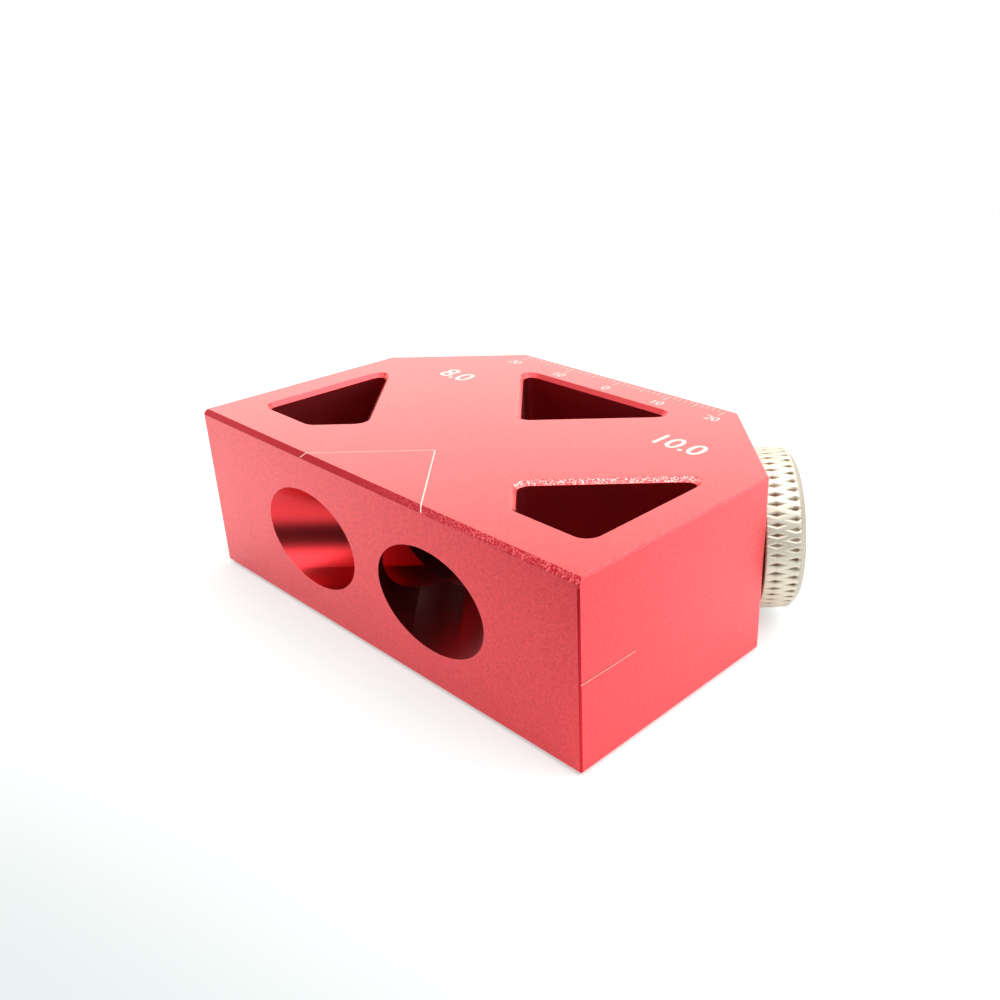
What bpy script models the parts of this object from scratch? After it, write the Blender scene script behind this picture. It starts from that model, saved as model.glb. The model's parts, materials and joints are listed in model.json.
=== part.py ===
# Angle drill guide: a red anodised block with two crossing bores at 45 degrees to its work face,
# and a knurled drill sleeve seated in the far end of each bore.
# Lengths are in metres. +Z is up and the block lies on its base. The origin is on the base plane,
# straight below the point where the two drill axes cross. The work face looks towards -Y.
import math

import bmesh
import bpy
from mathutils import Matrix, Vector

# Block
block_length = 0.075
block_depth = 0.050
block_thickness = 0.025
drill_angle = math.radians(45)
crossing_depth = 0.0125
bore_diameter = 0.014
corner_cut_depth = 0.0113
front_chamfer = 0.00065
base_chamfer = 0.0006
edge_break = 0.0002

# Pockets
leg_wall = 0.0039
end_wall = 0.0054
front_wall = 0.0072
back_wall = 0.0065
pocket_corner_radius = 0.0015
pocket_chamfer = 0.0006

# Sleeves
large_drill_diameter = 0.010
small_drill_diameter = 0.008
sleeve_fit = 0.0002
seat_gap = 0.0003
head_length = 0.0054
head_inset = 0.0015
tip_margin = 0.0047
head_outer_chamfer = 0.0009
head_inner_chamfer = 0.0002
tip_chamfer = 0.0006
hole_chamfer = 0.0005

# Knurl
knurl_count = 52
knurl_angle = math.radians(15)
knurl_depth = 0.00042
knurl_crest_cut = 0.00008

# Fineness of the round shapes
bore_segments = 64
corner_segments = 6
overshoot = 0.002

axis_height = block_thickness / 2
half_length = block_length / 2
work_face = -crossing_depth
back_face = block_depth - crossing_depth
bore_radius = bore_diameter / 2
leg_reach = bore_radius + leg_wall
axis_way = Vector((math.sin(drill_angle), math.cos(drill_angle), 0))
seat_distance = Vector((half_length, back_face, 0)).dot(axis_way) - corner_cut_depth
head_radius = block_thickness / 2 - head_inset
shank_radius = bore_radius - sleeve_fit
shank_length = seat_distance - bore_radius - tip_margin


def clear_scene():
    for item in list(bpy.data.objects):
        bpy.data.objects.remove(item, do_unlink=True)


def new_collection(name):
    group = bpy.data.collections.new(name)
    bpy.context.scene.collection.children.link(group)
    return group


def new_material(name, colour, roughness, metallic):
    material = bpy.data.materials.new(name)
    material.use_nodes = True
    shader = material.node_tree.nodes["Principled BSDF"]
    shader.inputs["Base Color"].default_value = (*colour, 1)
    shader.inputs["Roughness"].default_value = roughness
    shader.inputs["Metallic"].default_value = metallic
    return material


def new_object(name, shape, group, material=None):
    mesh = bpy.data.meshes.new(name)
    shape.to_mesh(mesh)
    shape.free()
    item = bpy.data.objects.new(name, mesh)
    group.objects.link(item)
    if material:
        mesh.materials.append(material)
    return item


def as_cutter(item):
    item.hide_render = True
    item.display_type = "WIRE"
    return item


def add_boolean(item, tool, operation):
    cut = item.modifiers.new(tool.name, "BOOLEAN")
    cut.operation = operation
    cut.solver = "EXACT"
    cut.object = tool


def lay_along_axis(item, side, distance):
    """Turns local +Z onto the drill axis that leans to one side, at a distance out from the crossing."""
    item.rotation_euler = (-math.pi / 2, 0, -side * drill_angle)
    item.location = (side * axis_way.x * distance, axis_way.y * distance, axis_height)


def mill_plane(shape, point, normal):
    """Takes away what lies beyond a plane and closes the cut."""
    stock = shape.verts[:] + shape.edges[:] + shape.faces[:]
    cut = bmesh.ops.bisect_plane(shape, geom=stock, dist=1e-7, plane_co=point, plane_no=normal, clear_outer=True)
    rim = [part for part in cut["geom_cut"] if isinstance(part, bmesh.types.BMEdge)]
    bmesh.ops.edgeloop_fill(shape, edges=rim)
    shape.normal_update()


def chamfer_width(edge):
    """Wide along the top of the work face and round the base, a light break on the other edges."""
    ends = [vert.co for vert in edge.verts]
    if all(end.z < base_chamfer for end in ends):
        return base_chamfer
    on_top = all(end.z > block_thickness - front_chamfer for end in ends)
    if on_top and all(end.y < work_face + front_chamfer for end in ends):
        return front_chamfer
    return edge_break


def block_shape():
    """Bar stock with both back corners milled square to the drill axes, then chamfered."""
    shape = bmesh.new()
    bmesh.ops.create_cube(shape, size=1)
    bmesh.ops.scale(shape, vec=(block_length, block_depth, block_thickness), verts=shape.verts)
    middle = Vector((0, (work_face + back_face) / 2, axis_height))
    bmesh.ops.translate(shape, vec=middle, verts=shape.verts)
    for side in (-1, 1):
        way = Vector((side * axis_way.x, axis_way.y, 0))
        mill_plane(shape, way * seat_distance, way)
    cuts = []
    for edge in shape.edges:
        first, second = [face.normal for face in edge.link_faces]
        outward = (first + second).normalized()
        drop = chamfer_width(edge) * math.sin(first.angle(second) / 2)
        cuts.append((edge.verts[0].co - outward * drop, outward))
    for point, outward in cuts:
        mill_plane(shape, point, outward)
    bmesh.ops.recalc_face_normals(shape, faces=shape.faces)
    return shape


def rounded_outline(sides, radius, grow, height):
    """Goes round a convex outline whose straight sides are given by outward direction and distance."""
    radius += grow
    points = []
    for (turn, reach), (next_turn, next_reach) in zip(sides, sides[1:] + sides[:1]):
        normals = Matrix(((math.cos(turn), math.sin(turn)), (math.cos(next_turn), math.sin(next_turn))))
        centre = normals.inverted() @ Vector((reach + grow - radius, next_reach + grow - radius))
        sweep = (next_turn - turn) % math.tau
        for step in range(corner_segments + 1):
            angle = turn + sweep * step / corner_segments
            points.append((centre.x + radius * math.cos(angle), centre.y + radius * math.sin(angle), height))
    return points


def loft(rings):
    """Skins rings of points that match one for one, and closes both ends."""
    shape = bmesh.new()
    loops = []
    for ring in rings:
        verts = [shape.verts.new(point) for point in ring]
        loops.append([shape.edges.new(pair) for pair in zip(verts, verts[1:] + verts[:1])])
    for lower, upper in zip(loops, loops[1:]):
        bmesh.ops.bridge_loops(shape, edges=lower + upper)
    for end in (loops[0], loops[-1]):
        bmesh.ops.edgeloop_fill(shape, edges=end)
    bmesh.ops.recalc_face_normals(shape, faces=shape.faces)
    return shape


def pocket_shape(sides):
    """A window right through the block that flares at both faces, which leaves its rims chamfered."""
    flare = pocket_chamfer + overshoot
    steps = (
        (-overshoot, flare),
        (pocket_chamfer, 0),
        (block_thickness - pocket_chamfer, 0),
        (block_thickness + overshoot, flare),
    )
    return loft([rounded_outline(sides, pocket_corner_radius, grow, height) for height, grow in steps])


def side_pocket(side):
    """The sides of the window between one end wall, the work face's wall and the two crossing legs."""
    quarter = math.pi / 2
    turns = (
        (0, half_length - end_wall),
        (quarter + drill_angle, -leg_reach),
        (2 * quarter + quarter - drill_angle, -leg_reach),
        (3 * quarter, -work_face - front_wall),
    )
    if side > 0:
        return list(turns)
    return [(math.pi - turn, reach) for turn, reach in reversed(turns)]


def back_pocket():
    """The sides of the window between the back wall and the legs as they spread to the corner faces."""
    half_turn = math.pi
    return [
        (half_turn / 2, back_face - back_wall),
        (half_turn + (half_turn / 2 - drill_angle), -leg_reach),
        (2 * half_turn - (half_turn / 2 - drill_angle), -leg_reach),
    ]


def bore_shape():
    """A straight bore cutter, long enough to leave the block at both ends."""
    shape = bmesh.new()
    reach = 2 * (block_length + block_depth)
    bmesh.ops.create_cone(shape, cap_ends=True, segments=bore_segments, radius1=bore_radius,
                          radius2=bore_radius, depth=reach)
    return shape


def sleeve_profile(drill_diameter):
    """Half section of a sleeve: down the outside from the head's rim to the tip, then up the drill hole."""
    hole = drill_diameter / 2
    top = seat_gap + head_length
    return [
        (hole + hole_chamfer, top),
        (head_radius - head_outer_chamfer, top),
        (head_radius, top - head_outer_chamfer),
        (head_radius, seat_gap + head_inner_chamfer),
        (head_radius - head_inner_chamfer, seat_gap),
        (shank_radius, seat_gap),
        (shank_radius, tip_chamfer - shank_length),
        (shank_radius - tip_chamfer, -shank_length),
        (hole + hole_chamfer, -shank_length),
        (hole, hole_chamfer - shank_length),
        (hole, top - hole_chamfer),
    ]


def turned_blank(drill_diameter):
    shape = bmesh.new()
    verts = [shape.verts.new((radius, 0, height)) for radius, height in sleeve_profile(drill_diameter)]
    for pair in zip(verts, verts[1:] + verts[:1]):
        shape.edges.new(pair)
    return shape


def knurl_shape():
    """Round stock rolled with two crossing families of ridges, which leave sunk diamonds.

    On a grid of half pitches every second point is the bottom of a diamond and every other one
    a place where two ridges cross. The ridges are the long diagonals of the grid's cells.
    """
    around = math.tau * head_radius / knurl_count
    half_pitch = around / math.tan(knurl_angle) / 2
    rows = math.ceil(head_length / half_pitch) + 2
    low = head_radius - knurl_depth
    high = head_radius + knurl_crest_cut
    first_row = seat_gap + (head_length - rows * half_pitch) / 2
    shape = bmesh.new()
    bmesh.ops.create_cone(shape, cap_ends=True, segments=2 * knurl_count, radius1=1, radius2=1, depth=1)
    upright = [edge for edge in shape.edges if edge.verts[0].co.z * edge.verts[1].co.z < 0]
    bmesh.ops.subdivide_edges(shape, edges=upright, cuts=rows - 1)
    for vert in shape.verts:
        row = round((vert.co.z + 0.5) * rows)
        column = round(math.atan2(vert.co.y, vert.co.x) / math.tau * 2 * knurl_count)
        radius = high if (row + column) % 2 else low
        height = first_row + row * half_pitch
        if row == 0:
            height = -shank_length - overshoot
        vert.co = (vert.co.x * radius, vert.co.y * radius, height)
    sides = [face for face in shape.faces if len(face.verts) == 4]
    bmesh.ops.triangulate(shape, faces=sides, quad_method="LONG_EDGE")
    bmesh.ops.recalc_face_normals(shape, faces=shape.faces)
    return shape


def add_block(parts, cutters):
    red = new_material("anodised red", (0.66, 0.07, 0.09), 0.42, 0.9)
    block = new_object("block", block_shape(), parts, red)
    pockets = {"left pocket": side_pocket(-1), "right pocket": side_pocket(1), "back pocket": back_pocket()}
    for name, sides in pockets.items():
        add_boolean(block, as_cutter(new_object(name, pocket_shape(sides), cutters)), "DIFFERENCE")
    for name, side in (("large sleeve bore", 1), ("small sleeve bore", -1)):
        bore = as_cutter(new_object(name, bore_shape(), cutters))
        lay_along_axis(bore, side, 0)
        add_boolean(block, bore, "DIFFERENCE")
    return block


def add_sleeve(name, drill_diameter, side, parts, cutters, nickel):
    """A flanged drill sleeve: turned all over, then knurled on the head."""
    sleeve = new_object(name, turned_blank(drill_diameter), parts, nickel)
    turning = sleeve.modifiers.new("turning", "SCREW")
    turning.steps = 2 * knurl_count
    turning.render_steps = turning.steps
    turning.use_merge_vertices = True
    turning.merge_threshold = 0.00001
    turning.use_smooth_shade = True
    knurl = as_cutter(new_object(name + " knurl", knurl_shape(), cutters))
    for item in (sleeve, knurl):
        lay_along_axis(item, side, seat_distance)
    add_boolean(sleeve, knurl, "INTERSECT")
    return sleeve


def main():
    clear_scene()
    parts = new_collection("angle drill guide")
    cutters = new_collection("cutters")
    add_block(parts, cutters)
    nickel = new_material("plated steel", (0.76, 0.73, 0.67), 0.28, 1.0)
    add_sleeve("sleeve_10", large_drill_diameter, 1, parts, cutters, nickel)
    add_sleeve("sleeve_8", small_drill_diameter, -1, parts, cutters, nickel)


main()
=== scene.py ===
# Angle drill guide: finish of the block, its marks and its two knurled sleeves, in a plain studio.
import json
import math

import bmesh
import bpy
from mathutils import Euler, Matrix, Vector


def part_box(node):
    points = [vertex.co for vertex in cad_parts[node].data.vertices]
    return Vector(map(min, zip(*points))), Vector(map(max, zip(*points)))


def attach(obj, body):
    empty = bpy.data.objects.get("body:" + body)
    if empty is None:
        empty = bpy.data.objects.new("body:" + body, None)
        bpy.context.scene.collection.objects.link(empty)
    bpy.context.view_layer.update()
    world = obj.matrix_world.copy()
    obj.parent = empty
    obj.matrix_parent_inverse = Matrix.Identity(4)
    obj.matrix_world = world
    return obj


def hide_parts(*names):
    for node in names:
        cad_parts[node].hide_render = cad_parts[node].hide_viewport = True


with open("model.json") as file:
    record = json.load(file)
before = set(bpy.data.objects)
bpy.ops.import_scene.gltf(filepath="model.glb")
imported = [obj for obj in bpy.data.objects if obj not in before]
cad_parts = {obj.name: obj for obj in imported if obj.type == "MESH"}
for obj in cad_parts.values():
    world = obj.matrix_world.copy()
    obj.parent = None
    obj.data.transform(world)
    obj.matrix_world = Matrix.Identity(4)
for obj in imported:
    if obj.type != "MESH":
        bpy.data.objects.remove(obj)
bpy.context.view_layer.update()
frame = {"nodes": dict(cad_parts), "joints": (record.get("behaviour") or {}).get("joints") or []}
mm = 0.001
joinDistance = 0.0005 * mm
planeDistance = 1e-8
print("frame loaded:", sorted(frame["nodes"]))


# Shader sockets in plain arithmetic
class Wire:
    def __init__(self, tree, socket=None):
        self.tree = tree
        self.socket = socket

    def node(self, kind, settings=None, sockets=None, output=0):
        made = self.tree.nodes.new("ShaderNode" + kind)
        for key, value in (settings or {}).items():
            setattr(made, key, value)
        for key, value in (sockets or {}).items():
            self.feed(made.inputs[key], value)
        return Wire(self.tree, made.outputs[output])

    def feed(self, target, value):
        if isinstance(value, Wire):
            self.tree.links.new(value.socket, target)
        else:
            target.default_value = value

    def math(self, operation, *values):
        return self.node("Math", {"operation": operation}, dict(enumerate(values)))

    def __add__(self, other):
        return self.math("ADD", self, other)

    def __radd__(self, other):
        return self.math("ADD", other, self)

    def __sub__(self, other):
        return self.math("SUBTRACT", self, other)

    def __rsub__(self, other):
        return self.math("SUBTRACT", other, self)

    def __mul__(self, other):
        return self.math("MULTIPLY", self, other)

    def __rmul__(self, other):
        return self.math("MULTIPLY", other, self)


def newFinish(name, **values):
    # the values go to the shader's sockets, with _ for a space in a socket's name
    finish = bpy.data.materials.new(name)
    finish.use_nodes = True
    shader = finish.node_tree.nodes["Principled BSDF"]
    for key, value in values.items():
        socket = shader.inputs[key.replace("_", " ")]
        socket.default_value = (*value, 1) if isinstance(value, tuple) else value
    return finish, Wire(finish.node_tree), shader


def blend(wire, amount, first, second):
    # colour mix by a factor
    def whole(colour):
        return colour if isinstance(colour, Wire) else (*colour, 1)
    return wire.node("Mix", {"data_type": "RGBA", "clamp_factor": True},
                     {0: amount, 6: whole(first), 7: whole(second)}, 2)


def grain(wire, place, size, detail=2.0, roughness=0.5):
    # noise whose features are about that many metres across
    return wire.node("TexNoise", {"noise_dimensions": "3D"},
                     {"Vector": place, "Scale": 1 / size, "Detail": detail, "Roughness": roughness})


def span(wire, value, low, high):
    # 0 below low, 1 above high, smooth between
    return wire.node("MapRange", {"interpolation_type": "SMOOTHSTEP"},
                     {"Value": value, "From Min": low, "From Max": high})


def surfacePlace(wire):
    return wire.node("TexCoord", output="Object")


def axisOf(wire, place, axis):
    return wire.node("SeparateXYZ", None, {0: place}, axis)


def along(wire, place, way):
    # how far the place lies that way, or the cosine between two directions
    return wire.node("VectorMath", {"operation": "DOT_PRODUCT"}, {0: place, 1: way}, 1)


def turnAbout(wire, place, angle):
    # turned about the upright axis
    return wire.node("Mapping", None, {"Vector": place, "Rotation": (0, 0, angle)})


def bumpTo(wire, shader, height, depth):
    bump = wire.node("Bump", None, {"Height": height, "Distance": depth, "Strength": 1.0})
    wire.feed(shader.inputs["Normal"], bump)


# Finishes
anodisedLook = {
    "blasted": (0.60, 0.004, 0.014),
    "blastedPale": (0.86, 0.020, 0.036),
    "worn": (0.90, 0.13, 0.13),
    "wall": (0.58, 0.050, 0.064),
    "wallPale": (0.68, 0.080, 0.096),
    "edge": (0.50, 0.016, 0.028),
    "torn": (0.86, 0.14, 0.16),
    "rim": (0.80, 0.06, 0.07),
    "tornPale": (1.0, 0.50, 0.46),
    "cut": (0.50, 0.018, 0.026),
    "cutPale": (0.66, 0.035, 0.042),
    "seal": 1.0,                  # weight of the clear seal over the dye, blasted faces first
    "wornSeal": 0.6,
    "cutSeal": 0.3,
    "frontRimSeal": 0.1,
    "sealHaze": 0.3,
    "cutSealHaze": 0.4,
    "sealLeast": 0.78,            # shares of that weight, with what flecks and specks add
    "sealSwing": 0.08,
    "roughness": 0.34,
    "roughSwing": 0.08,
    "mottleRough": 0.04,
    "wallRoughness": 0.26,
    "rimRoughness": 0.2,
    "tornRoughness": 0.15,        # added where it's torn
    "blastSize": 0.22 * mm,
    "blastDepth": 0.015 * mm,
    "fleckSpan": (0.3, 0.7),
    "fleckShare": 0.45,           # the shares of what turns the dye pale
    "speckSize": 0.42 * mm,
    "speckDetail": 3.0,
    "speckSpan": (0.32, 0.62),
    "speckShare": 0.35,
    "mottleSize": 6 * mm,
    "mottleDetail": 1.0,
    "mottleShare": 0.2,
    "lineSize": 0.18 * mm,        # between the cutter's lines on milled walls
    "lineStretch": 0.03,
    "lineShare": 0.6,
    "lineRelief": 0.7,
    "lineDepth": 0.006 * mm,
    "chatterSize": 0.22 * mm,
    "chatterHarshness": 0.6,
    "flakeSpan": (0.42, 0.68),
    "frontChatter": 0.10 * mm,
    "windowChatter": 0.12 * mm,
    "evenRelief": 0.05,                     # the share of the chatter's relief where it isn't torn
    "tornRun": (-12 * mm, 30 * mm),         # the front rim's chatter grows between these
    "tornDrop": (1.2 * mm, 0.8 * mm),       # and from this far below the top
    "tornWidth": (0.9 * mm, 1.3 * mm),      # across the window's rim
    "ringSize": 0.12 * mm,
    "ringStretch": 0.25,
    # the bores' cut colour is scaled by a painted light and shade: lighter for the bore that runs out towards
    # +x, darker for the other
    "borePaintedShade": {1: 1.38, -1: 0.60},       # by the side each bore runs out to
    "boreRoughness": {1: 0.28, -1: 0.42},
    "boreGrain": {1: 0.014 * mm, -1: 0.006 * mm},
}


def blastedFinish(name, colour, pale, seal):
    # bead blasted, then anodised and sealed
    look = anodisedLook
    finish, wire, shader = newFinish(name, Metallic=1.0, Coat_Roughness=look["sealHaze"])
    place = surfacePlace(wire)
    blast = grain(wire, place, look["blastSize"])
    mottle = grain(wire, place, look["mottleSize"], look["mottleDetail"])
    speck = span(wire, grain(wire, place, look["speckSize"], look["speckDetail"]), *look["speckSpan"])
    fleck = span(wire, blast, *look["fleckSpan"])
    paleness = fleck * look["fleckShare"] + mottle * look["mottleShare"] + speck * look["speckShare"]
    cover = look["sealLeast"] + fleck * look["sealSwing"] + speck * look["sealSwing"]
    rough = look["roughness"] + blast * look["roughSwing"] + mottle * look["mottleRough"]
    wire.feed(shader.inputs["Base Color"], blend(wire, paleness, colour, pale))
    wire.feed(shader.inputs["Coat Weight"], seal * cover)
    wire.feed(shader.inputs["Roughness"], rough)
    bumpTo(wire, shader, blast, look["blastDepth"])
    return finish


def cutFinish(name, seal):
    # for faces cut after blasting, which take a thinner and duller seal
    return newFinish(name, Metallic=1.0, Coat_Weight=seal, Coat_Roughness=anodisedLook["cutSealHaze"])


def milledFinish(name):
    # side milled and not blasted: deeper red, with the cutter's upright lines
    look = anodisedLook
    finish, wire, shader = cutFinish(name, look["cutSeal"])
    place = surfacePlace(wire)
    drawn = wire.node("Mapping", None, {"Vector": place, "Scale": (1, 1, look["lineStretch"])})
    lines = grain(wire, drawn, look["lineSize"])
    specks = grain(wire, place, look["blastSize"])
    share, relief = look["lineShare"], look["lineRelief"]
    paleness = lines * share + specks * (1 - share)
    wire.feed(shader.inputs["Base Color"], blend(wire, paleness, look["wall"], look["wallPale"]))
    wire.feed(shader.inputs["Roughness"], look["wallRoughness"] + specks * look["roughSwing"])
    bumpTo(wire, shader, lines * relief + specks * (1 - relief), look["lineDepth"])
    return finish


def rimFinish(name, torn, smooth, flakes, depth, seal):
    # chamfers cut by hand feed; torn gives where the cutter chattered, from 0 to 1
    look = anodisedLook
    finish, wire, shader = cutFinish(name, seal)
    place = surfacePlace(wire)
    chatter = grain(wire, place, look["chatterSize"], roughness=look["chatterHarshness"])
    amount = torn(wire, place)
    flake = span(wire, chatter, *look["flakeSpan"]) * amount
    wire.feed(shader.inputs["Base Color"], blend(wire, flake, smooth, flakes))
    wire.feed(shader.inputs["Roughness"], look["rimRoughness"] + look["tornRoughness"] * amount)
    bumpTo(wire, shader, chatter * (amount + look["evenRelief"]), depth)
    return finish


def tornFront(wire, place):
    # growing from left of the middle to the right end, along the top only
    look = anodisedLook
    start, full = [high.z - drop for drop in look["tornDrop"]]
    onTop = span(wire, axisOf(wire, place, "Z"), start, full)
    return span(wire, axisOf(wire, place, "X"), *look["tornRun"]) * onTop


def tornWindow(wire, place):
    # the right window's long far rim
    x, y = [axisOf(wire, place, axis) for axis in "XY"]
    far = wire.math("ABSOLUTE", x - y - blockSizes["legReach"] * math.sqrt(2))
    return (1 - span(wire, far, *anodisedLook["tornWidth"])) * span(wire, x, 0, 1 * mm)


def boreFinish(name, side):
    # reamed: fine rings square to the bore's own axis
    look = anodisedLook
    # shade scales the cut's colours: a painted light and shade that makes the same cut lighter in one bore and
    # darker in the other
    shade = look["borePaintedShade"][side]
    cut, cutPale = [tuple(shade * part for part in look[key]) for key in ("cut", "cutPale")]
    finish, wire, shader = cutFinish(name, look["cutSeal"])
    place = surfacePlace(wire)
    stretch = look["ringStretch"]
    turned = turnAbout(wire, place, side * math.pi / 4)
    stretched = wire.node("Mapping", None, {"Vector": turned, "Scale": (stretch, 1, stretch)})
    rings = grain(wire, stretched, look["ringSize"])
    blast = grain(wire, place, look["blastSize"])
    wire.feed(shader.inputs["Base Color"], blend(wire, blast, cut, cutPale))
    wire.feed(shader.inputs["Roughness"], look["boreRoughness"][side] + blast * look["roughSwing"])
    bumpTo(wire, shader, rings * 0.5 + blast * 0.5, look["boreGrain"][side])
    return finish


markLook = {
    "laser mark": ((0.74, 0.54, 0.48), (0.84, 0.70, 0.63)),
    "scribed line": ((0.66, 0.34, 0.30), (0.80, 0.58, 0.52)),
    # a painted shadow along the scribed line's upper side
    "scribed painted shadow": ((0.30, 0.01, 0.02), (0.42, 0.02, 0.035)),
    "roughness": 0.5,
    "roughSwing": 0.2,
    "grainSize": 0.15 * mm,
    "grainDepth": 0.01 * mm,
}


def markFinish(name):
    # burnt or scribed into the dye: dull, not metallic, and finely grained; the dark finish along the scribed
    # line's upper side is a painted shadow, made the same way
    look = markLook
    finish, wire, shader = newFinish(name)
    fine = grain(wire, surfacePlace(wire), look["grainSize"])
    wire.feed(shader.inputs["Base Color"], blend(wire, fine, *look[name]))
    wire.feed(shader.inputs["Roughness"], look["roughness"] + fine * look["roughSwing"])
    bumpTo(wire, shader, fine, look["grainDepth"])
    return finish


nickelLook = {
    "clean": (0.58, 0.54, 0.43),
    "cleanPale": (0.68, 0.65, 0.56),
    "pitDark": (0.13, 0.065, 0.02),
    # the faced end's colour, darkened: a painted shade
    "facedAndShaded": (0.38, 0.34, 0.28),
    "hole": (0.24, 0.21, 0.17),
    "roughness": 0.50,
    "fineRough": 0.08,
    "pitDarkRough": 0.2,
    "facedSmooth": 0.18,
    "pitDarkCover": 0.85,
    "smearSize": 1.6 * mm,
    "smearDetail": 3.0,
    "smearSpan": (0.35, 0.6),
    "smearShare": 0.35,           # how much of the pits' darkening comes and goes
    "fineSize": 0.2 * mm,
    "ringPitch": 0.22 * mm,
    "ringDepth": 0.006 * mm,
    "pitDarkRise": 0.07 * mm,        # the pits' darkening thins out from this far above the pits' floor
    "pitDarkStop": 0.03 * mm,        # and ends this far below the crests
    "pitDarkInset": 0.25 * mm,       # and fades over this much at both ends of the knurl
    "shankGap": (0.3 * mm, 0.2 * mm),    # below the pits, to keep it off the shank
    "holeFade": (0.1 * mm, 0.4 * mm),
    "facedFade": 0.05 * mm,
}


def nickelFinish(name, side, seat, hole):
    # bright plated crests, darker and browner down in the pits, a dull oiled hole, fine turning rings
    # elsewhere, and a faced end that is smoother and darkened as a painted shade
    look = nickelLook
    head = sleeveSizes["headRadius"]
    pit = head - sleeveSizes["knurlDepth"]
    outer = sleeveSizes["seatGap"] + sleeveSizes["headLength"] - sleeveSizes["outerChamfer"]
    finish, wire, shader = newFinish(name)
    place = surfacePlace(wire)
    centred = wire.node("VectorMath", {"operation": "SUBTRACT"}, {0: place, 1: tuple(seat)})
    local = turnAbout(wire, centred, side * math.pi / 4)
    x, y, z = [axisOf(wire, local, axis) for axis in "XYZ"]
    radius = wire.math("SQRT", x * x + z * z)
    crest = span(wire, radius, pit + look["pitDarkRise"], head - look["pitDarkStop"])
    inset = look["pitDarkInset"]
    onKnurl = span(wire, y, 0.0, inset) * (1 - span(wire, y, outer - inset, outer))
    onHead = span(wire, radius, *[pit - gap for gap in look["shankGap"]])
    smear = grain(wire, place, look["smearSize"], look["smearDetail"])
    patchy = span(wire, smear, *look["smearSpan"]) * look["smearShare"]
    # darker and browner down in the pits, by depth
    pitDark = (1 - crest) * onKnurl * onHead * (1 - look["smearShare"] + patchy)
    fine = grain(wire, place, look["fineSize"])
    inHole = 1 - span(wire, radius, *[hole + fade for fade in look["holeFade"]])
    # the faced end and outer chamfer: turned smoother, and darkened as a painted shade
    facedAndShaded = span(wire, y, outer - look["facedFade"], outer + look["facedFade"])
    plated = blend(wire, smear, look["clean"], look["cleanPale"])
    for amount, tint in ((pitDark, look["pitDark"]), (facedAndShaded, look["facedAndShaded"]), (inHole, look["hole"])):
        plated = blend(wire, amount, plated, tint)
    rough = look["roughness"] + fine * look["fineRough"] + pitDark * look["pitDarkRough"]
    rough = rough - facedAndShaded * look["facedSmooth"]
    wire.feed(shader.inputs["Base Color"], plated)
    wire.feed(shader.inputs["Metallic"], 1 - pitDark * look["pitDarkCover"])
    wire.feed(shader.inputs["Roughness"], rough)
    rings = wire.math("SINE", radius * (math.tau / look["ringPitch"]))
    bumpTo(wire, shader, rings * 0.5 + fine * 0.5, look["ringDepth"])
    return finish


# Mesh helpers
def meshOf(item):
    ready = item.evaluated_get(bpy.context.evaluated_depsgraph_get())
    return bpy.data.meshes.new_from_object(ready)


def newPiece(name, bm, *finishes):
    mesh = bpy.data.meshes.new(name)
    bm.to_mesh(mesh)
    bm.free()
    for finish in finishes:
        mesh.materials.append(finish)
    piece = bpy.data.objects.new(name, mesh)
    bpy.context.scene.collection.objects.link(piece)
    return piece


def carve(piece, tool, operation="DIFFERENCE"):
    cut = piece.modifiers.new("carve", "BOOLEAN")
    cut.solver = "EXACT"
    cut.operation = operation
    cut.material_mode = "TRANSFER"
    cut.object = tool
    mesh = meshOf(piece)
    if len(mesh.polygons) < len(piece.data.polygons) / 2:
        raise RuntimeError("carving " + piece.name + " with " + tool.name + " failed")
    piece.modifiers.clear()
    piece.data = mesh
    bpy.data.objects.remove(tool)


def millPlane(bm, point, normal):
    stock = bm.verts[:] + bm.edges[:] + bm.faces[:]
    cut = bmesh.ops.bisect_plane(bm, geom=stock, dist=planeDistance, plane_co=point,
                                 plane_no=normal, clear_outer=True)
    rim = [part for part in cut["geom_cut"] if isinstance(part, bmesh.types.BMEdge)]
    bmesh.ops.edgeloop_fill(bm, edges=rim)
    bm.normal_update()


def softenEdges(piece, width, turn, slotAt=None, keep=None):
    # a small round on the edges that turn by more than that angle; slotAt gives its finish by place
    bm = bmesh.new()
    bm.from_mesh(piece.data)
    bmesh.ops.remove_doubles(bm, verts=bm.verts, dist=joinDistance)
    bm.normal_update()
    sharp = []
    for edge in bm.edges:
        turns = len(edge.link_faces) == 2 and edge.calc_face_angle(0) > turn
        if turns and (keep is None or keep(edge)):
            sharp.append(edge)
    made = bmesh.ops.bevel(bm, geom=sharp, offset=width, offset_type="OFFSET", segments=2, profile=0.5,
                           affect="EDGES", material=-1, clamp_overlap=True)
    if slotAt is not None:
        for face in made["faces"]:
            face.material_index = slotAt(face.calc_center_median())
    bm.to_mesh(piece.data)
    bm.free()


def shadeRound(piece, turn):
    piece.data.shade_smooth()
    piece.data.set_sharp_from_angle(angle=turn)
    weight = piece.modifiers.new("weighted normals", "WEIGHTED_NORMAL")
    weight.keep_sharp = True
    piece.data = meshOf(piece)
    piece.modifiers.clear()


# Where the drill axes run, from the frame
low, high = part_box("block")
drillWays = {joint["child"]: Vector(joint["axis"]).normalized() for joint in frame["joints"]}
axisHeight = (low.z + high.z) / 2

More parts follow.
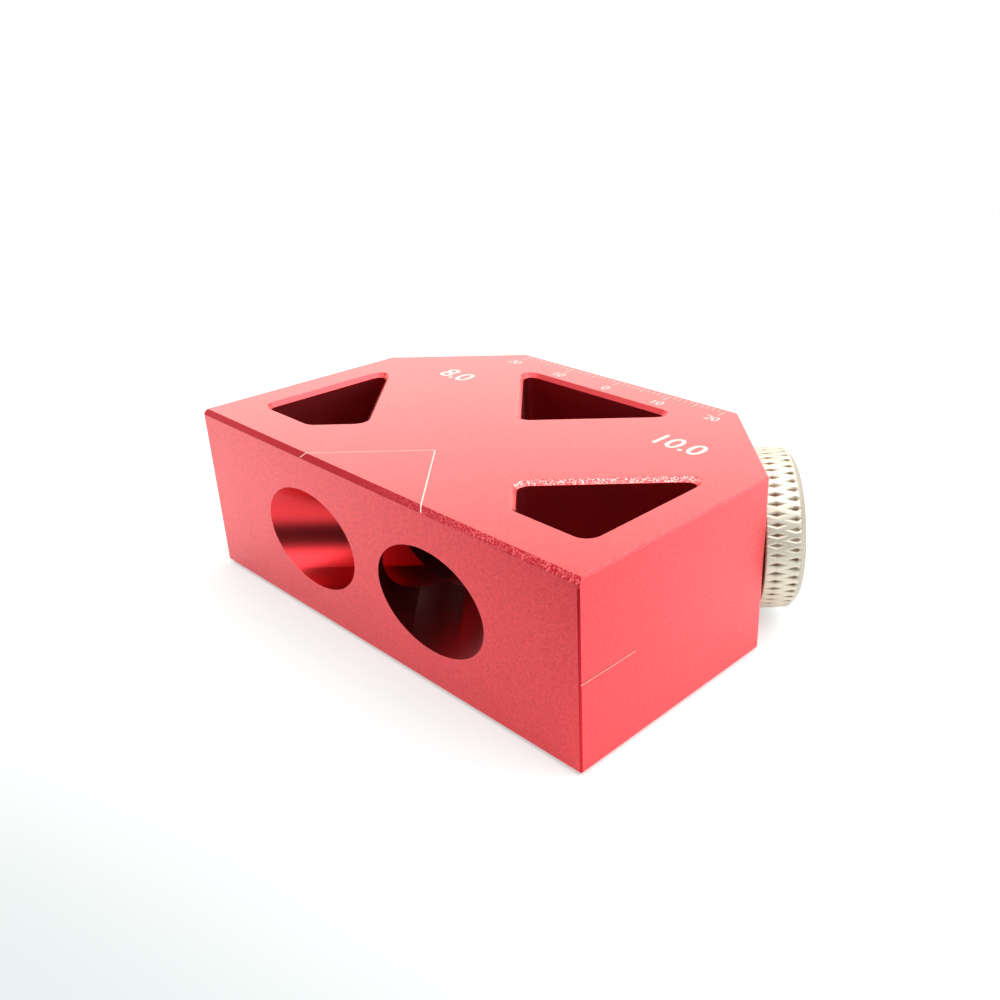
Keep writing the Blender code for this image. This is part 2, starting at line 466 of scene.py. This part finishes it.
blockSizes = {
    "boreRadius": 7 * mm,
    "cornerCut": 11.3 * mm,       # how far the back corners are milled back along the drill axes
    "frontChamfer": 0.65 * mm,
    "baseChamfer": 0.6 * mm,
    "edgeBreak": 0.2 * mm,
    "softEdge": 0.045 * mm,
    "softTurn": math.radians(20),
    "softBand": 0.75 * mm,        # only edges this near the outside are softened
    "rimBand": 0.8 * mm,          # softened edges this near the front rim take its finish
    "endBand": 0.4 * mm,
    "shadeTurn": math.radians(35),
    "legReach": 10.9 * mm,        # from a drill axis to the side of its leg
    "endWall": 5.4 * mm,
    "frontWall": 7.2 * mm,
    "backWall": 6.5 * mm,
    "windowRadius": 1.5 * mm,
    "windowChamfer": 0.6 * mm,
    "boreSteps": 144,
    "cornerSteps": 8,
    "toolLength": 200 * mm,
    "toolOver": 1 * mm,           # how far the tools stand out past the faces that they cut
}
finishSlots = {"blasted": 0, "frontRim": 1, "worn": 2}
seatDistance = max(high.x * abs(way.x) + high.y * way.y for way in drillWays.values()) - blockSizes["cornerCut"]


def edgeCut(edge):
    # how far back an edge is cut: round the base, along the front rim, or elsewhere
    near = 0.1 * mm
    ends = [vert.co for vert in edge.verts]
    if all(end.z < low.z + near for end in ends):
        return blockSizes["baseChamfer"]
    if all(end.z > high.z - near and end.y < low.y + near for end in ends):
        return blockSizes["frontChamfer"]
    return blockSizes["edgeBreak"]


def blockBlank():
    # the frame's box, its back corners milled off and every edge cut back
    bm = bmesh.new()
    bmesh.ops.create_cube(bm, size=1)
    bmesh.ops.scale(bm, vec=high - low, verts=bm.verts)
    bmesh.ops.translate(bm, vec=(low + high) / 2, verts=bm.verts)
    for way in drillWays.values():
        millPlane(bm, way * seatDistance, way)
    cuts = []
    for edge in bm.edges:
        first, second = [face.normal for face in edge.link_faces]
        outward = (first + second).normalized()
        cuts.append((edge.verts[0].co - outward * edgeCut(edge) * math.sin(first.angle(second) / 2), outward))
    for point, outward in cuts:
        millPlane(bm, point, outward)
    for face in bm.faces:
        x, y, z = face.normal
        onFront = y < -0.5 and (z > 0.5 or abs(x) > 0.5)
        face.material_index = finishSlots["frontRim" if onFront else "blasted"]
    bmesh.ops.recalc_face_normals(bm, faces=bm.faces)
    return bm


def windowFace(bm, sides, grow, height):
    # the corners where neighbouring sides meet, each rounded by a vertex bevel
    before = set(bm.verts)
    corners = []
    for (turn, reach), (nextTurn, nextReach) in zip(sides[-1:] + sides[:-1], sides):
        normals = Matrix(((math.cos(turn), math.sin(turn)), (math.cos(nextTurn), math.sin(nextTurn))))
        spot = normals.inverted() @ Vector((reach + grow, nextReach + grow))
        sweep = (nextTurn - turn) % math.tau
        corners.append((bm.verts.new((spot.x, spot.y, height)), sweep))
    bm.faces.new([vert for vert, sweep in corners])
    for vert, sweep in corners:
        radius = blockSizes["windowRadius"] + grow
        bmesh.ops.bevel(bm, geom=[vert], offset=radius * math.tan(sweep / 2), offset_type="OFFSET",
                        segments=blockSizes["cornerSteps"], profile=0.5, affect="VERTICES", material=-1)
    fresh = set(bm.verts) - before
    return next(face for face in bm.faces if set(face.verts) <= fresh)


def windowTool(name, sides, walls, rim):
    # flares at both faces, which leaves the window's rims chamfered and in their own finish
    over = blockSizes["toolOver"]
    chamfer = blockSizes["windowChamfer"]
    levels = ((low.z - over, chamfer + over), (low.z + chamfer, 0),
              (high.z - chamfer, 0), (high.z + over, chamfer + over))
    bm = bmesh.new()
    faces = [windowFace(bm, sides, grow, height) for height, grow in levels]
    for below, above in zip(faces, faces[1:]):
        bmesh.ops.bridge_loops(bm, edges=below.edges[:] + above.edges[:])
    bmesh.ops.delete(bm, geom=faces[1:-1], context="FACES_ONLY")
    bmesh.ops.recalc_face_normals(bm, faces=bm.faces)
    flared = 0.3
    for face in bm.faces:
        face.material_index = 1 if abs(face.normal.z) > flared else 0
    return newPiece(name, bm, walls, rim)


def windowSides():
    # each side's outward direction and its distance from the crossing, in turn order
    sizes = blockSizes
    half = math.pi
    quarter = half / 2
    lean = quarter / 2
    reach = sizes["legReach"]
    right = [(0, high.x - sizes["endWall"]), (quarter + lean, -reach), (half + lean, -reach),
             (half + quarter, -low.y - sizes["frontWall"])]
    left = [(half - turn, distance) for turn, distance in reversed(right)]
    back = [(quarter, high.y - sizes["backWall"]), (half + lean, -reach), (half + quarter + lean, -reach)]
    return {"right window": right, "left window": left, "back window": back}


def boreTool(name, way, finish):
    bm = bmesh.new()
    radius = blockSizes["boreRadius"]
    bmesh.ops.create_cone(bm, cap_ends=True, segments=blockSizes["boreSteps"], radius1=radius,
                          radius2=radius, depth=blockSizes["toolLength"])
    turn = Vector((0, 0, 1)).rotation_difference(way).to_matrix()
    bmesh.ops.rotate(bm, cent=(0, 0, 0), matrix=turn, verts=bm.verts)
    bmesh.ops.translate(bm, vec=(0, 0, axisHeight), verts=bm.verts)
    return newPiece(name, bm, finish)


# Marks
markSizes = {
    "depth": 0.06 * mm,
    "angleLine": 0.17 * mm,
    "angleLineDown": 0.85,        # the share of the front chamfer that it runs over
    "angleLineBack": 0.4,         # shares of the depth, back from the chamfer's edge
    "angleLineSunk": 0.7,         # and along each axis, for the same depth square to the chamfer
    "endLine": 0.10 * mm,
    "endDepth": 0.03 * mm,
    "endLineDrop": 0.35 * mm,     # below mid height
    "endLineReach": 9 * mm,
    "numberWeight": 0.014,        # how far the strokes are widened, in heights of the type
    "numberJoin": 0.0005,         # points this near each other are joined, in the same heights
    "numberSteps": 4,
    "sizeHeight": 3.6 * mm,
    "sizeBase": 20.8 * mm,
    "sizePlaces": {"8.0": -21.9 * mm, "10.0": 22.6 * mm},
    "scaleHeight": 1.7 * mm,
    "scaleBase": 32.55 * mm,
    "scaleTop": 36.9 * mm,
    "scaleEnd": 20,
    "numberEvery": 10,
    "tickLengths": {10: 2.0 * mm, 5: 1.4 * mm, 1: 0.9 * mm},
    "tickWidth": 0.16 * mm,
    "toolThickness": 2 * mm,
}


def slab(corners, across, width):
    # a flat outline given thickness on both sides of its plane
    bm = bmesh.new()
    face = bm.faces.new([bm.verts.new(Vector(corner) - across * width / 2) for corner in corners])
    pushed = bmesh.ops.extrude_face_region(bm, geom=[face])
    verts = [part for part in pushed["geom"] if isinstance(part, bmesh.types.BMVert)]
    bmesh.ops.translate(bm, vec=across * width, verts=verts)
    bmesh.ops.recalc_face_normals(bm, faces=bm.faces)
    return bm


def angleLine(side, finish):
    # from above the crossing to the work face's chamfer, and down over that
    sizes = markSizes
    depth = sizes["depth"]
    drop = blockSizes["frontChamfer"]
    down = sizes["angleLineDown"]
    sunk = depth * sizes["angleLineSunk"]
    reach = -low.y
    out = reach + blockSizes["toolOver"]
    floor, foot, roof = high.z - depth, high.z - drop * down - sunk, high.z + blockSizes["toolOver"]
    profile = ((0, floor), (reach - drop - depth * sizes["angleLineBack"], floor),
               (reach - drop * (1 - down) - sunk, foot), (out, foot), (out, roof), (0, roof))
    corners = [(side * way, -way, height) for way, height in profile]
    across = Vector((side, 1, 0)).normalized()
    return newPiece("angle line", slab(corners, across, sizes["angleLine"]), finish)


def endLine(side, lift, finish):
    sizes = markSizes
    over = blockSizes["toolOver"]
    inner = high.x * side - sizes["endDepth"] * side
    outer = high.x * side + side * over
    front, back = low.y - over, low.y + sizes["endLineReach"]
    height = axisHeight - sizes["endLineDrop"] + lift
    corners = [(inner, front, height), (outer, front, height), (outer, back, height), (inner, back, height)]
    return newPiece("end line", slab(corners, Vector((0, 0, 1)), sizes["endLine"]), finish)


def numberTool(text, height, centre, base, finish):
    sizes = markSizes
    curve = bpy.data.curves.new("number", "FONT")
    curve.body = text
    curve.extrude = 0.5
    curve.resolution_u = sizes["numberSteps"]
    curve.offset = sizes["numberWeight"]
    curve.align_x = "CENTER"
    item = bpy.data.objects.new("number", curve)
    bpy.context.scene.collection.objects.link(item)
    mesh = meshOf(item)
    bpy.data.objects.remove(item)
    bm = bmesh.new()
    bm.from_mesh(mesh)
    bmesh.ops.remove_doubles(bm, verts=bm.verts, dist=sizes["numberJoin"])
    bmesh.ops.recalc_face_normals(bm, faces=bm.faces)
    top = max(vert.co.y for vert in bm.verts)
    bottom = min(vert.co.y for vert in bm.verts)
    size = height / (top - bottom)
    bmesh.ops.translate(bm, vec=(0, -bottom, curve.extrude), verts=bm.verts)
    bmesh.ops.scale(bm, vec=(size, size, sizes["toolThickness"]), verts=bm.verts)
    bmesh.ops.translate(bm, vec=(centre, base, high.z - sizes["depth"]), verts=bm.verts)
    return newPiece("number", bm, finish)


def tickTool(x, length, finish):
    sizes = markSizes
    half = sizes["tickWidth"] / 2
    top, bottom = sizes["scaleTop"], sizes["scaleTop"] - length
    outline = ((x - half, bottom), (x + half, bottom), (x + half, top), (x - half, top))
    middle = high.z - sizes["depth"] + sizes["toolThickness"] / 2
    corners = [(across, up, middle) for across, up in outline]
    return newPiece("tick", slab(corners, Vector((0, 0, 1)), sizes["toolThickness"]), finish)


def addMarks(block, finish):
    sizes = markSizes
    scribed = markFinish("scribed line")
    shade = markFinish("scribed painted shadow")
    for side in (-1, 1):
        carve(block, angleLine(side, finish))
        carve(block, endLine(side, 0, scribed))
        # a dark slab just above each scribed line: a painted shadow
        carve(block, endLine(side, sizes["endLine"], shade))
    for text, centre in sizes["sizePlaces"].items():
        carve(block, numberTool(text, sizes["sizeHeight"], centre, sizes["sizeBase"], finish))
    end = sizes["scaleEnd"]
    tools = []
    for step in range(-end, end + 1):
        length = next(size for every, size in sizes["tickLengths"].items() if step % every == 0)
        tools.append(tickTool(step * mm, length, finish))
    merged = bmesh.new()
    for tool in tools:
        merged.from_mesh(tool.data)
        bpy.data.objects.remove(tool)
    carve(block, newPiece("scale", merged, finish))
    for step in range(-end, end + 1, sizes["numberEvery"]):
        carve(block, numberTool(str(abs(step)), sizes["scaleHeight"], step * mm, sizes["scaleBase"], finish))


def nearOutside(edge):
    middle = (edge.verts[0].co + edge.verts[1].co) / 2
    x, y, z = middle
    inset = min(high.x - abs(x), y - low.y, high.y - y, z - low.z, high.z - z)
    corner = min(seatDistance - middle.dot(way) for way in drillWays.values())
    return min(inset, corner) < blockSizes["softBand"]


def softenedSlot(centre):
    # worn pale, but not round the front rim and the front's upright edges
    atFront = centre.y < low.y + blockSizes["rimBand"]
    atRim = centre.z > high.z - blockSizes["rimBand"]
    atEnd = abs(centre.x) > high.x - blockSizes["endBand"]
    return finishSlots["frontRim" if atFront and (atRim or atEnd) else "worn"]


def makeBlock():
    look = anodisedLook
    blasted = blastedFinish("blasted red", look["blasted"], look["blastedPale"], look["seal"])
    frontRim = rimFinish("front rim", tornFront, look["edge"], look["torn"],
                         look["frontChatter"], look["frontRimSeal"])
    worn = blastedFinish("worn edge", look["blastedPale"], look["worn"], look["wornSeal"])
    walls = milledFinish("milled wall")
    windowRim = rimFinish("window rim", tornWindow, look["rim"], look["tornPale"],
                          look["windowChatter"], look["cutSeal"])
    marks = markFinish("laser mark")
    block = newPiece("guideBlock", blockBlank(), blasted, frontRim, worn, walls, windowRim, marks)
    for name, sides in windowSides().items():
        carve(block, windowTool(name, sides, walls, windowRim))
    for name, way in drillWays.items():
        side = 1 if way.x > 0 else -1
        carve(block, boreTool(name + " bore", way, boreFinish(name + " bore", side)))
    softenEdges(block, blockSizes["softEdge"], blockSizes["softTurn"], softenedSlot, nearOutside)
    addMarks(block, marks)
    shadeRound(block, blockSizes["shadeTurn"])
    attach(block, "block")
    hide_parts("block")
    print("block:", len(block.data.polygons), "faces,", [slot.name for slot in block.data.materials])


# Sleeves
sleeveSizes = {
    "drills": {"large_sleeve": 10 * mm, "small_sleeve": 8 * mm},
    "nodes": {"large_sleeve": "sleeve_10", "small_sleeve": "sleeve_8"},
    "names": {"large_sleeve": "largeSleeve", "small_sleeve": "smallSleeve"},
    "headRadius": 11.0 * mm,
    "headLength": 5.4 * mm,
    "seatGap": 0.3 * mm,
    "shankRadius": 6.8 * mm,
    "tipDistance": 11.7 * mm,     # from the crossing to the shank's tip
    "outerChamfer": 0.9 * mm,
    "innerChamfer": 0.2 * mm,
    "tipChamfer": 0.6 * mm,
    "holeChamfer": 0.5 * mm,
    "knurls": 52,
    "knurlAngle": math.radians(15),
    "knurlDepth": 0.28 * mm,
    "crestCut": 0.15 * mm,
    "toolFoot": 60 * mm,          # the knurl's tool runs down past the shank
    "burr": 0.03 * mm,
    "burrTurn": math.radians(14),
    "shadeTurn": math.radians(25),
}


def sleeveBlank(drill):
    # turned about z, with the seat at zero and the head above it
    sizes = sleeveSizes
    hole = drill / 2
    top = sizes["seatGap"] + sizes["headLength"]
    tip = sizes["tipDistance"] - seatDistance
    head, shank, lead = sizes["headRadius"], sizes["shankRadius"], sizes["holeChamfer"]
    outline = (
        (hole + lead, top), (head - sizes["outerChamfer"], top), (head, top - sizes["outerChamfer"]),
        (head, sizes["seatGap"] + sizes["innerChamfer"]), (head - sizes["innerChamfer"], sizes["seatGap"]),
        (shank, sizes["seatGap"]), (shank, tip + sizes["tipChamfer"]), (shank - sizes["tipChamfer"], tip),
        (hole + lead, tip), (hole, tip + lead), (hole, top - lead),
    )
    bm = bmesh.new()
    verts = [bm.verts.new((radius, 0, height)) for radius, height in outline]
    edges = [bm.edges.new(pair) for pair in zip(verts, verts[1:] + verts[:1])]
    bmesh.ops.spin(bm, geom=verts + edges, cent=(0, 0, 0), axis=(0, 0, 1), angle=math.tau,
                   steps=4 * sizes["knurls"], use_merge=True, use_duplicate=False)
    bmesh.ops.recalc_face_normals(bm, faces=bm.faces)
    return bm


def knurlTool(finish):
    # a cylinder of diamonds, its points now past the head and now down in the pits
    sizes = sleeveSizes
    columns = 2 * sizes["knurls"]
    halfPitch = math.tau * sizes["headRadius"] / sizes["knurls"] / math.tan(sizes["knurlAngle"]) / 2
    rows = math.ceil(sizes["headLength"] / halfPitch) + 2
    start = sizes["seatGap"] + (sizes["headLength"] - rows * halfPitch) / 2
    bm = bmesh.new()
    bmesh.ops.create_cone(bm, cap_ends=True, segments=columns, radius1=1, radius2=1, depth=1)
    upright = [edge for edge in bm.edges if edge.verts[0].co.z * edge.verts[1].co.z < 0]
    bmesh.ops.subdivide_edges(bm, edges=upright, cuts=rows - 1)
    for vert in bm.verts:
        row = round((vert.co.z + 0.5) * rows)
        column = round(math.atan2(vert.co.y, vert.co.x) / math.tau * columns)
        crest = (row + column) % 2
        radius = sizes["headRadius"] + (sizes["crestCut"] if crest else -sizes["knurlDepth"])
        height = start + row * halfPitch if row else -sizes["toolFoot"]
        vert.co = (vert.co.x * radius, vert.co.y * radius, height)
    sides = [face for face in bm.faces if len(face.verts) == 4]
    bmesh.ops.triangulate(bm, faces=sides, quad_method="LONG_EDGE")
    bmesh.ops.recalc_face_normals(bm, faces=bm.faces)
    return newPiece("knurl", bm, finish)


def makeSleeve(body, way):
    sizes = sleeveSizes
    side = 1 if way.x > 0 else -1
    name = sizes["names"][body]
    seat = way * seatDistance + Vector((0, 0, axisHeight))
    drill = sizes["drills"][body]
    nickel = nickelFinish(name + " nickel", side, seat, drill / 2)
    sleeve = newPiece(name, sleeveBlank(drill), nickel)
    carve(sleeve, knurlTool(nickel), "INTERSECT")
    softenEdges(sleeve, sizes["burr"], sizes["burrTurn"])
    turn = Euler((-math.pi / 2, 0, -side * math.pi / 4)).to_matrix().to_4x4()
    sleeve.data.transform(Matrix.Translation(seat) @ turn)
    shadeRound(sleeve, sizes["shadeTurn"])
    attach(sleeve, body)
    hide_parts(sizes["nodes"][body])
    print(name + ":", len(sleeve.data.polygons), "faces")


# Studio
studio = {
    "sensor": 36,
    "lens": 36.69,
    "shift": -0.09,
    "place": Vector((98.91, -76.63, 75.32)) * mm,
    "azimuth": math.radians(42.96),
    "elevation": math.radians(25.07),
    "roll": math.radians(-0.57),
    "lampPlace": Vector((0.30, 0.25, 0.42)),
    "lampAim": Vector((0, 0.01, 0.01)),
    "lampSize": (0.8, 0.8),
    "lampPower": 5.0,
    "floorSize": 4.0,
    "floorGap": 0.02 * mm,
    "floorRoughness": 0.7,
    "floorTint": (0.85, 0.90, 0.89),
    "floorWhite": 0.42,                # the least share of white that the camera sees in it
    "floorFade": (0.10, 0.4),
    # the floor's colour and the camera's white are darkened towards the near left: a painted shade
    "nearPaintedShade": (0.64, 0.655, 0.66),   # the floor greys a little towards the near left
    "nearWay": (0.28, -0.96, 0),
    "nearFade": (20 * mm, 72 * mm),
    "nearEnd": (0.14, 0.3),
    "sky": 0.75,
    "topGlow": 1.5,
    "topWay": (0.05, -0.40, 0.915),
    "topSpan": (0.72, 0.97),
    "backGlow": 1.22,
    "backWay": (-0.66, 0.66, 0.36),
    "backSpan": (0.2, 0.95),
    "backHeight": (0.35, 0.75),
    "backBlue": 0.88,
    "frontWay": (0.38, -0.88, 0.28),   # the unlit side of the room
    "frontSpan": (0.72, 0.94),
    "frontDark": 0.97,
    # the floor towards the front shows as a dark glow to glossy rays: a painted shade, seen only in reflections
    "frontFade": (13 * mm, 110 * mm),
    "frontFloorPaintedShade": 0.09,                # how bright the floor there shows in reflections
}


def addLamp():
    lamp = bpy.data.lights.new("key", "AREA")
    lamp.shape = "RECTANGLE"
    lamp.size, lamp.size_y = studio["lampSize"]
    lamp.energy = studio["lampPower"]
    item = bpy.data.objects.new("key", lamp)
    bpy.context.scene.collection.objects.link(item)
    item.location = studio["lampPlace"]
    item.rotation_euler = (studio["lampAim"] - studio["lampPlace"]).to_track_quat("-Z", "Y").to_euler()


def addFloor():
    # a pale floor that keeps a soft shadow and runs out into the white backdrop, with painted shade towards the
    # near left and, in reflections only, towards the front
    bm = bmesh.new()
    bmesh.ops.create_grid(bm, x_segments=1, y_segments=1, size=studio["floorSize"] / 2)
    bmesh.ops.translate(bm, vec=(0, 0, low.z - studio["floorGap"]), verts=bm.verts)
    finish, wire, shader = newFinish("pale floor", Roughness=studio["floorRoughness"])
    place = surfacePlace(wire)
    far = wire.node("VectorMath", {"operation": "LENGTH"}, {0: place}, 1)
    # painted shade: towards the near left the floor's colour and the white that the camera sees in it are both
    # greyed
    near = span(wire, along(wire, place, studio["nearWay"]), *studio["nearFade"])
    near = near * (1 - span(wire, far, *studio["nearEnd"]))
    grey = tuple(a * b for a, b in zip(studio["floorTint"], studio["nearPaintedShade"]))
    wire.feed(shader.inputs["Base Color"], blend(wire, near, studio["floorTint"], grey))
    least = studio["floorWhite"]
    share = least + (1 - least) * span(wire, far, *studio["floorFade"])
    # a painted shade towards the front of the floor, which only glossy rays see
    dim = span(wire, along(wire, place, studio["frontWay"]), *studio["frontFade"])
    inCamera = wire.node("LightPath", output="Is Camera Ray")
    inGloss = wire.node("LightPath", output="Is Glossy Ray")
    nearWhite = blend(wire, near, (1, 1, 1), studio["nearPaintedShade"])
    white = wire.node("Emission", None, {"Color": nearWhite, "Strength": 1.0})
    level = studio["frontFloorPaintedShade"]
    dark = wire.node("Emission", None, {"Color": (level, level, level, 1), "Strength": 1.0})
    shaded = Wire(finish.node_tree, shader.outputs[0])
    mixed = wire.node("MixShader", None, {0: inGloss * dim, 1: shaded, 2: dark})
    mixed = wire.node("MixShader", None, {0: inCamera * share, 1: mixed, 2: white})
    wire.feed(finish.node_tree.nodes["Material Output"].inputs["Surface"], mixed)
    floor = newPiece("floor", bm, finish)


def addWorld():
    # bright overhead and low down behind the block, dark in front, and white to the camera
    world = bpy.data.worlds.new("studio")
    world.use_nodes = True
    bpy.context.scene.world = world
    wire = Wire(world.node_tree)
    way = wire.node("TexCoord", output="Generated")
    toBack = span(wire, along(wire, way, studio["backWay"]), *studio["backSpan"])
    notHigh = 1 - span(wire, axisOf(wire, way, "Z"), *studio["backHeight"])
    toTop = span(wire, along(wire, way, studio["topWay"]), *studio["topSpan"])
    toFront = span(wire, along(wire, way, studio["frontWay"]), *studio["frontSpan"])
    glow = toBack * notHigh * studio["backGlow"]
    plain = (studio["sky"] + toTop * studio["topGlow"]) * (1 - studio["frontDark"] * toFront)
    camera = wire.node("LightPath", output="Is Camera Ray")
    level = (plain + glow) * (1 - camera) + camera
    blue = (plain + glow * studio["backBlue"]) * (1 - camera) + camera
    colour = wire.node("CombineXYZ", None, {0: level, 1: level, 2: blue})
    wire.feed(world.node_tree.nodes["Background"].inputs["Color"], colour)


def addCamera():
    data = bpy.data.cameras.new("camera")
    data.lens = studio["lens"]
    data.sensor_width = studio["sensor"]
    data.shift_x = studio["shift"]
    data.clip_start = 1 * mm
    camera = bpy.data.objects.new("camera", data)
    bpy.context.scene.collection.objects.link(camera)
    turn = Euler((math.pi / 2 - studio["elevation"], 0, studio["azimuth"])).to_matrix()
    roll = Euler((0, 0, studio["roll"])).to_matrix()
    camera.matrix_world = Matrix.Translation(studio["place"]) @ (turn @ roll).to_4x4()
    bpy.context.scene.camera = camera


makeBlock()
for body, way in drillWays.items():
    makeSleeve(body, way)
addFloor()
addWorld()
addLamp()
addCamera()
bpy.context.scene.view_settings.view_transform = "Standard"
print("studio ready")
